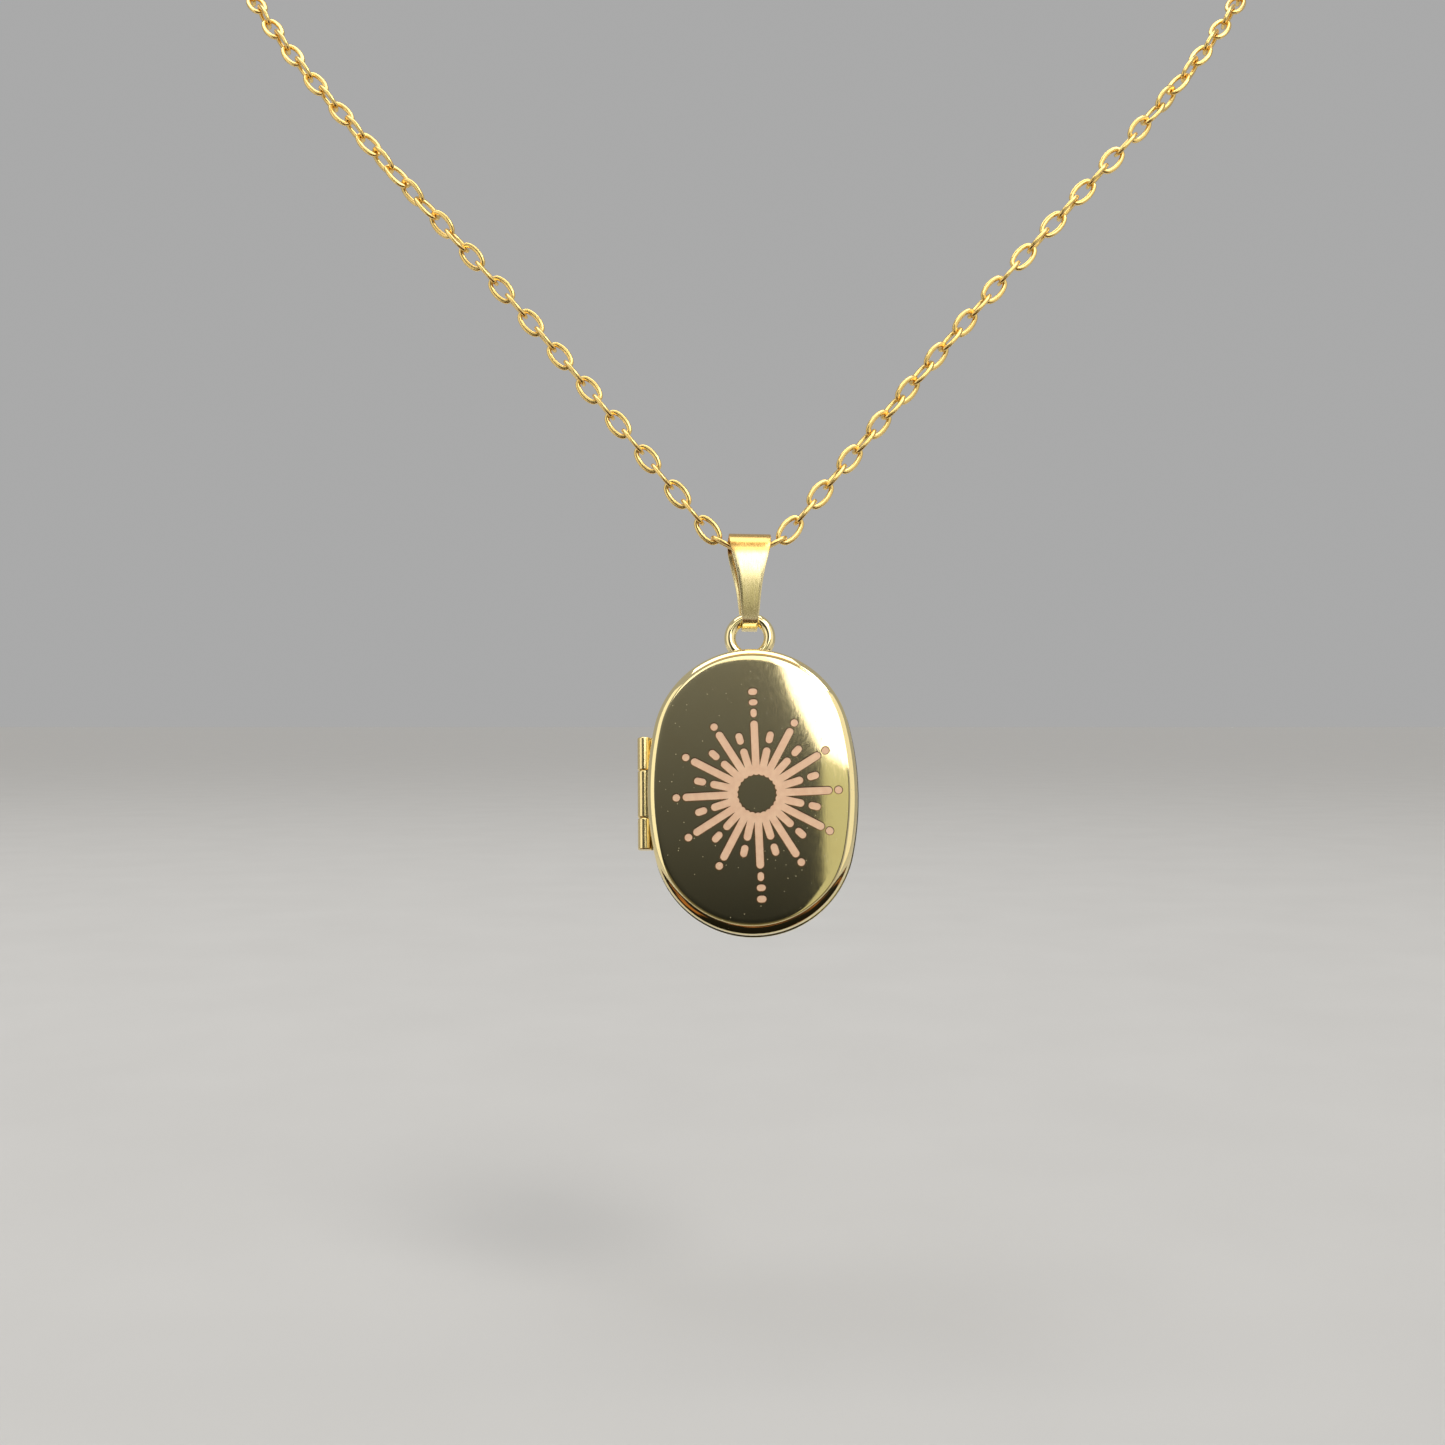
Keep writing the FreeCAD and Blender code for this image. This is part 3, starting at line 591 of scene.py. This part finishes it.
def sunburst_cutter():
    """Solid that cuts the etching: floor, sloping sides, and a lid clear of the face."""
    cutter = bmesh.new()
    for index in range(RAY_COUNT):
        angle = math.radians(RAY_DEGREES * index) - SUNBURST_TURN
        ray_edge(cutter, SHORT_RAY if index % 2 else LONG_RAY, angle)
    bmesh.ops.remove_doubles(cutter, verts=cutter.verts, dist=4e-6)
    for index in range(RAY_COUNT):
        angle = math.radians(RAY_DEGREES * index) - SUNBURST_TURN
        if index % 2:
            dots = [SHORT_RAY_DOT]
        elif index % (RAY_COUNT // 2):
            dots = [LONG_RAY_DOT]
        else:
            dots = UPRIGHT_DOTS
        for radius, long, wide in dots:
            pill(cutter, radius, long, wide, angle)
    bmesh.ops.translate(cutter, verts=cutter.verts, vec=SUNBURST_MIDDLE)
    bmesh.ops.triangle_fill(cutter, use_beauty=True, use_dissolve=False, edges=cutter.edges,
                            normal=(0, -1, 0))
    for face in cutter.faces:
        face.material_index = 1
    rim = bmesh.ops.inset_region(cutter, faces=cutter.faces, thickness=ETCH_SLOPE, depth=0.0,
                                 use_even_offset=True, use_boundary=True)["faces"]
    for face in rim:
        face.material_index = 2
    outline = {vertex for edge in cutter.edges if edge.is_boundary for vertex in edge.verts}
    floor = list(cutter.verts)
    lid = bmesh.ops.extrude_face_region(cutter, geom=cutter.faces, use_keep_orig=True)["geom"]
    for part in lid:
        if isinstance(part, bmesh.types.BMVert):
            part.co.y = -FACE - LID_CLEARANCE
    for vertex in floor:
        rise = -ETCH_OVERSHOOT if vertex in outline else ETCH_DEPTH
        vertex.co.y = dome(vertex.co.x, vertex.co.z) + rise
    bmesh.ops.recalc_face_normals(cutter, faces=cutter.faces)
    mesh = bpy.data.meshes.new("sunburst")
    cutter.to_mesh(mesh)
    cutter.free()
    return mesh


def cut_away(mesh, cutter_mesh):
    """One mesh with another cut out of it."""
    whole = bpy.data.objects.new("whole", mesh)
    tool = bpy.data.objects.new("tool", cutter_mesh)
    for thing in (whole, tool):
        bpy.context.scene.collection.objects.link(thing)
    cut = whole.modifiers.new("cut", "BOOLEAN")
    cut.operation = "DIFFERENCE"
    cut.solver = "EXACT"
    cut.object = tool
    bpy.context.view_layer.update()
    seen = whole.evaluated_get(bpy.context.evaluated_depsgraph_get())
    result = bpy.data.meshes.new_from_object(seen)
    bpy.data.objects.remove(whole)
    bpy.data.objects.remove(tool)
    return result


def hinge_groove():
    """Round bar that hollows the cover's edge where the knuckles sit."""
    bar = bmesh.new()
    bmesh.ops.create_cone(bar, cap_ends=True, segments=48, radius1=GROOVE_RADIUS,
                          radius2=GROOVE_RADIUS, depth=GROOVE_TOP - GROOVE_BOTTOM)
    bmesh.ops.translate(bar, verts=bar.verts, vec=(HINGE_X, 0, (GROOVE_TOP + GROOVE_BOTTOM) / 2))
    mesh = bpy.data.meshes.new("groove")
    bar.to_mesh(mesh)
    bar.free()
    return mesh


def etched_floor():
    """Matt rose-coloured etched brass, mottled where the acid bit unevenly."""
    material = plated("engraving_rose", (1.0, 0.72, 0.50), (0.82, 0.50, 0.32), 0.50, 0.2,
                      0.00001, 0.00002)
    material.node_tree.nodes["Principled BSDF"].inputs["Metallic"].default_value = 0.30
    mottle = next(node for node in material.node_tree.nodes
                  if node.bl_idname == "ShaderNodeTexNoise")
    mottle.inputs["Scale"].default_value = 1600.0
    mottle.inputs["Detail"].default_value = 6.0
    return material


def etched_side_painted_shade():
    """Painted shade: near-black gold on the etching's sloping sides, standing in for the dark outline they show.
    """
    return plated("engraving_edge_painted_shade", (0.22, 0.11, 0.04), (0.12, 0.06, 0.02), 0.45, 0.2,
                  0.000004, 0.000008)


back_rest = next(mount for mount in frame["record"]["mounts"] if mount["name"] == "back_rest")
deep = Vector(back_rest["axis"])
back_middle = Vector(back_rest["pos_m"])
locket_up = -Vector(joints["cover_hinge"]["axis"])
locket_at = standing_frame(back_middle - deep * FACE, deep.cross(locket_up), locket_up)
cover_plain = cover_mesh()
for material in (locket_gold, etched_floor(), etched_side_painted_shade()):
    cover_plain.materials.append(material)
sunburst = sunburst_cutter()
for _ in range(3):
    sunburst.materials.append(None)
groove = hinge_groove()
groove.materials.append(None)
cover_body = cut_away(cut_away(cover_plain, groove), sunburst)
cover_body.shade_smooth()
cover_body.set_sharp_from_angle(angle=math.radians(25))
cover_body.transform(locket_at)
cover = as_piece("engraved_cover", cover_body, [], "locket_cover")
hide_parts("front_cover")

# ---------------------------------------------------------------------------------
# What the locket holds: in each half a thin pressed frame keeps a clear sheet and a
# blank card in place. The frames are bright plated brass, and the cards are plain.


def card_finish():
    """Smooth cream card with a faint fibre."""
    material = bpy.data.materials.new("blank_card")
    material.use_nodes = True
    nodes = material.node_tree.nodes
    links = material.node_tree.links
    shader = nodes["Principled BSDF"]
    shader.inputs["Roughness"].default_value = 0.85
    place = nodes.new("ShaderNodeTexCoord")
    fibre = nodes.new("ShaderNodeTexNoise")
    fibre.inputs["Scale"].default_value = 3000.0
    fibre.inputs["Detail"].default_value = 5.0
    tone = nodes.new("ShaderNodeMix")
    tone.data_type = "RGBA"
    tone.inputs["A"].default_value = (0.80, 0.75, 0.66, 1.0)
    tone.inputs["B"].default_value = (0.90, 0.87, 0.80, 1.0)
    links.new(place.outputs["Object"], fibre.inputs["Vector"])
    links.new(fibre.outputs["Fac"], tone.inputs["Factor"])
    links.new(tone.outputs["Result"], shader.inputs["Base Color"])
    return material


def window_finish():
    """Clear plastic sheet, a little worn."""
    material = bpy.data.materials.new("clear_window")
    material.use_nodes = True
    nodes = material.node_tree.nodes
    links = material.node_tree.links
    shader = nodes["Principled BSDF"]
    shader.inputs["Base Color"].default_value = (0.96, 0.97, 0.97, 1.0)
    shader.inputs["Alpha"].default_value = 0.14
    shader.inputs["IOR"].default_value = 1.49
    place = nodes.new("ShaderNodeTexCoord")
    wear = nodes.new("ShaderNodeTexNoise")
    wear.inputs["Scale"].default_value = 900.0
    wear.inputs["Detail"].default_value = 4.0
    gloss = nodes.new("ShaderNodeMapRange")
    gloss.inputs["To Min"].default_value = 0.02
    gloss.inputs["To Max"].default_value = 0.12
    links.new(place.outputs["Object"], wear.inputs["Vector"])
    links.new(wear.outputs["Fac"], gloss.inputs["Value"])
    links.new(gloss.outputs["Result"], shader.inputs["Roughness"])
    return material


frame_gold = plated("frame_gold", (0.96, 0.76, 0.36), (0.90, 0.67, 0.27), 0.12, 0.1, 0.000003, 0.000004)
card = card_finish()
window = window_finish()
for half in ("back", "front"):
    finish_node(half + "_picture_frame", frame_gold)
    finish_node(half + "_window", window)
    finish_node(half + "_picture", card)

# ---------------------------------------------------------------------------------
# The studio: a plain pale floor, an even sky, a broad key light, a soft box overhead,
# and glowing boards round the piece, like a jeweller's boards, that light nothing and
# show only in the polish: painted reflections that set the tones on the metal.

LOCKET_MIDDLE = locket_at.translation
FLOOR_DROP = 0.04
FLOOR = cad_box[0][2] - FLOOR_DROP


def toned(name, low_tone, high_tone, texture_scale, patch_start, patch_end):
    """Matt material in patches between two tones."""
    material = bpy.data.materials.new(name)
    material.use_nodes = True
    nodes = material.node_tree.nodes
    links = material.node_tree.links
    shader = nodes["Principled BSDF"]
    shader.inputs["Roughness"].default_value = 0.9
    shader.inputs["Specular IOR Level"].default_value = 0.1
    place = nodes.new("ShaderNodeTexCoord")
    mottle = nodes.new("ShaderNodeTexNoise")
    mottle.inputs["Scale"].default_value = texture_scale
    tone = nodes.new("ShaderNodeMix")
    tone.data_type = "RGBA"
    tone.inputs["A"].default_value = (*low_tone, 1.0)
    tone.inputs["B"].default_value = (*high_tone, 1.0)
    links.new(place.outputs["Object"], mottle.inputs["Vector"])
    patches = nodes.new("ShaderNodeMapRange")
    patches.inputs["From Min"].default_value = patch_start
    patches.inputs["From Max"].default_value = patch_end
    links.new(mottle.outputs["Fac"], patches.inputs["Value"])
    links.new(patches.outputs["Result"], tone.inputs["Factor"])
    links.new(tone.outputs["Result"], shader.inputs["Base Color"])
    return material


def studio_floor():
    """Wide round floor under the necklace."""
    disc = bmesh.new()
    bmesh.ops.create_circle(disc, cap_ends=True, segments=96, radius=60.0)
    bmesh.ops.translate(disc, verts=disc.verts, vec=(0, 0, FLOOR))
    mesh = bpy.data.meshes.new("floor")
    disc.to_mesh(mesh)
    disc.free()
    mesh.materials.append(toned("studio_paper", (0.66, 0.65, 0.63), (0.68, 0.67, 0.65), 30.0, 0.3, 0.7))
    floor = bpy.data.objects.new("floor", mesh)
    bpy.context.scene.collection.objects.link(floor)


def board_finish(name, low, high, low_tone, high_tone):
    """Glow that goes from one tone to another between two heights."""
    material = bpy.data.materials.new(name)
    material.use_nodes = True
    nodes = material.node_tree.nodes
    links = material.node_tree.links
    nodes.remove(nodes["Principled BSDF"])
    place = nodes.new("ShaderNodeTexCoord")
    split = nodes.new("ShaderNodeSeparateXYZ")
    climb = nodes.new("ShaderNodeMapRange")
    climb.inputs["From Min"].default_value = low
    climb.inputs["From Max"].default_value = high
    tone = nodes.new("ShaderNodeMix")
    tone.data_type = "RGBA"
    tone.inputs["A"].default_value = (*low_tone, 1.0)
    tone.inputs["B"].default_value = (*high_tone, 1.0)
    glow = nodes.new("ShaderNodeEmission")
    links.new(place.outputs["Object"], split.inputs["Vector"])
    links.new(split.outputs["Z"], climb.inputs["Value"])
    links.new(climb.outputs["Result"], tone.inputs["Factor"])
    links.new(tone.outputs["Result"], glow.inputs["Color"])
    links.new(glow.outputs["Emission"], nodes["Material Output"].inputs["Surface"])
    return material


def reflected_board(name, outline, distance, low_tone, high_tone):
    """Glowing board that lights nothing and only shows in the polish, a painted reflection; its corners are
    directions from the locket, in degrees.
    """
    sheet = bmesh.new()
    corners = []
    for azimuth, height in outline:
        east = math.tan(math.radians(azimuth))
        rise = math.tan(math.radians(height)) / math.cos(math.radians(azimuth))
        corners.append(sheet.verts.new(LOCKET_MIDDLE + Vector((east, -1, rise)) * distance))
    sheet.faces.new(corners)
    heights = [corner.co.z for corner in corners]
    mesh = bpy.data.meshes.new(name)
    sheet.to_mesh(mesh)
    sheet.free()
    mesh.materials.append(board_finish(name, min(heights), max(heights), low_tone, high_tone))
    board = bpy.data.objects.new(name, mesh)
    bpy.context.scene.collection.objects.link(board)
    board.visible_camera = False
    board.visible_diffuse = False
    board.visible_shadow = False
    board.visible_transmission = False


studio_floor()
# Painted reflections: the dark, low, side, amber, yellow, white and top boards glow only in the polish, giving the
# metal its dark and bright tones.
DARK = [(-42, 7.6), (22, 7.6), (22, 44), (-42, 44)]
LOW_DARK = [(-42, -3), (22, -3), (22, 7.6), (-42, 7.6)]
LEFT_SIDE = [(-80, -25), (-45, -25), (-45, 44), (-80, 44)]
RIGHT_SIDE = [(33, -25), (80, -25), (80, 44), (33, 44)]
AMBER = [(-40, 47), (40, 47), (40, 72), (-40, 72)]
WHITE = [(-4.6, 31), (-3.0, 28), (0.2, 23.8), (3, 22.8), (30, 22.8), (30, 42), (-4.6, 42)]
TOP_WHITE = [(-34, 33.5), (-4.6, 31.5), (-4.6, 42), (-34, 42)]
YELLOW = [(0.2, 4), (16, 4), (16, 24), (0.2, 24)]
reflected_board("dark_board", DARK, 0.9, (0.006, 0.007, 0.006), (0.40, 0.41, 0.42))
reflected_board("low_board", LOW_DARK, 0.9, (0.30, 0.27, 0.17), (0.006, 0.007, 0.006))
reflected_board("left_board", LEFT_SIDE, 0.9, (0.95, 0.92, 0.82), (1.25, 1.2, 1.05))
reflected_board("right_board", RIGHT_SIDE, 0.9, (0.80, 0.77, 0.68), (1.1, 1.05, 0.92))
reflected_board("amber_board", AMBER, 0.8, (0.62, 0.44, 0.22), (0.62, 0.44, 0.22))
reflected_board("yellow_board", YELLOW, 0.85, (0.53, 0.52, 0.37), (0.60, 0.60, 0.41))
reflected_board("white_board", WHITE, 0.8, (2.8, 2.75, 2.6), (2.8, 2.75, 2.6))
reflected_board("top_board", TOP_WHITE, 0.8, (1.7, 1.65, 1.45), (1.7, 1.65, 1.45))


APRON_HALF_SIZE = (0.20, 0.16, 1)
APRON_AHEAD = 0.155
APRON_LIFT = 0.001


def dark_apron():
    """Dark card on the floor before the necklace, which only the polish shows: a painted reflection, dark with
    copper patches, on the locket's lower shoulder.
    """
    sheet = bmesh.new()
    bmesh.ops.create_grid(sheet, x_segments=1, y_segments=1, size=1)
    bmesh.ops.scale(sheet, verts=sheet.verts, vec=APRON_HALF_SIZE)
    bmesh.ops.translate(sheet, verts=sheet.verts,
                        vec=(LOCKET_MIDDLE.x, LOCKET_MIDDLE.y - APRON_AHEAD, FLOOR + APRON_LIFT))
    mesh = bpy.data.meshes.new("apron")
    sheet.to_mesh(mesh)
    sheet.free()
    # Painted reflection: near-black with copper patches, seen only in the locket's lower shoulder.
    mesh.materials.append(toned("apron_painted_reflection", (0.006, 0.005, 0.002), (0.42, 0.16, 0.04), 12.0,
                                0.54, 0.62))
    apron = bpy.data.objects.new("apron", mesh)
    bpy.context.scene.collection.objects.link(apron)
    apron.visible_camera = False
    apron.visible_diffuse = False
    apron.visible_shadow = False


dark_apron()

sun = bpy.data.lights.new("key", "SUN")
sun.energy = 0.9
sun.angle = math.radians(25)
sun.color = (1.0, 0.97, 0.92)
key = bpy.data.objects.new("key", sun)
key.rotation_euler = Vector((-0.5, 0.62, -0.95)).to_track_quat("-Z", "Y").to_euler()
bpy.context.scene.collection.objects.link(key)

soft_box = bpy.data.lights.new("soft_box", "AREA")
soft_box.shape = "RECTANGLE"
soft_box.size = 1.0
soft_box.size_y = 0.6
soft_box.energy = 4.0
overhead = bpy.data.objects.new("overhead", soft_box)
overhead.location = LOCKET_MIDDLE + Vector((-0.15, -0.05, 1.0))
bpy.context.scene.collection.objects.link(overhead)

world = bpy.data.worlds.new("studio")
world.use_nodes = True
world.node_tree.nodes["Background"].inputs["Color"].default_value = (0.80, 0.80, 0.80, 1.0)
world.node_tree.nodes["Background"].inputs["Strength"].default_value = 0.50
bpy.context.scene.world = world
bpy.context.scene.view_settings.view_transform = "Standard"

CAMERA_DISTANCE = 0.1433
CAMERA_ASIDE = -0.0028
CAMERA_BELOW_BAIL = 0.01814
SENSOR_WIDTH = 36.0
IMAGE_WIDTH = 1445
FOCAL_LENGTH = 1447
face_depth = LOCKET_MIDDLE.y - FACE
lens = bpy.data.cameras.new("camera")
lens.sensor_width = SENSOR_WIDTH
lens.lens = SENSOR_WIDTH * FOCAL_LENGTH / IMAGE_WIDTH
lens.clip_start = 0.01
lens.clip_end = 20.0
camera = bpy.data.objects.new("camera", lens)
camera.location = (CAMERA_ASIDE, face_depth - CAMERA_DISTANCE,
                   bail_at.translation.z - CAMERA_BELOW_BAIL)
camera.rotation_euler = (math.pi / 2, 0, 0)
bpy.context.scene.collection.objects.link(camera)
bpy.context.scene.camera = camera
